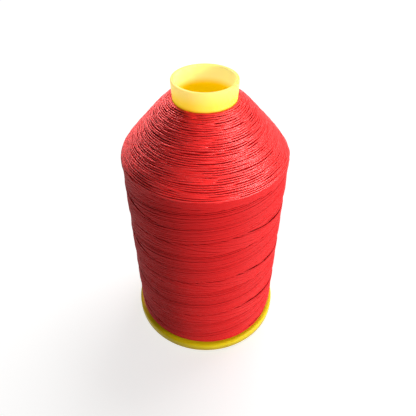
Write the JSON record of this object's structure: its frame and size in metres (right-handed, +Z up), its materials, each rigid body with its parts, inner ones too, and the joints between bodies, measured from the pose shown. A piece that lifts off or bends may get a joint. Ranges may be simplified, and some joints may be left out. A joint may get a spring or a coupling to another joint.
{
  "type": "cone of thread",
  "caption": "Cone of heavy sewing thread: a near-straight wound body with a domed shoulder, on a one-piece plastic core with a round base flange, a standing collar and an open bore.",
  "frame": {"origin": "the middle of the flat underside, on the axis of the bore", "axes": "+Z up along the bore, from the base flange to the collar"},
  "size_m": [0.085, 0.085, 0.1515],
  "materials": {
    "core_plastic": "satin, slightly see-through moulded plastic",
    "thread": "bonded filament thread with a soft sheen, laid in tight turns"
  },
  "bodies": {
    "root": {"core": "core_plastic", "winding": "thread"}
  },
  "joints": []
}
